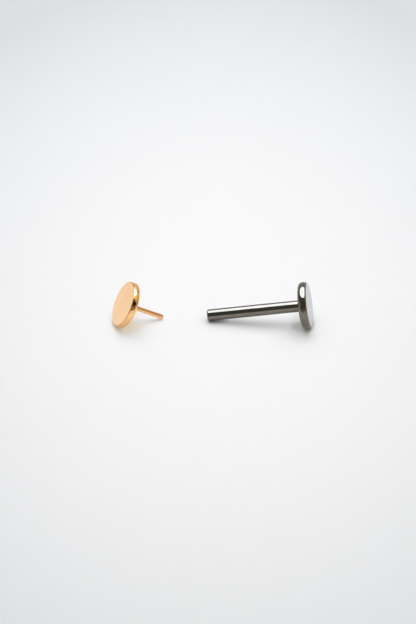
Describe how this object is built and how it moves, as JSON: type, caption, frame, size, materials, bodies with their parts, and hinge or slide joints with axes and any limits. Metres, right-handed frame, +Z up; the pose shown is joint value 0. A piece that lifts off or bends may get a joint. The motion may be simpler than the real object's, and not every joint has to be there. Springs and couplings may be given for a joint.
{
  "type": "labret stud, taken apart",
  "caption": "Push-pin labret stud laid apart: a polished gold disc end with a straight pin, and a slim flat-back titanium post bored to take it.",
  "frame": {"origin": "on the surface that both halves lie on, under the middle of their joint footprint", "axes": "+Z up from the surface; +X from the gold end to the post, as the picture shows them from left to right; +Y away from the picture's camera"},
  "size_m": [0.017, 0.0044, 0.004],
  "materials": {
    "gold": "high polish, warm yellow to peach gold",
    "titanium": "high polish, dark neutral grey titanium"
  },
  "bodies": {
    "root": {"gold_disc_end": "gold", "flat_back_post": "titanium"}
  },
  "joints": []
}
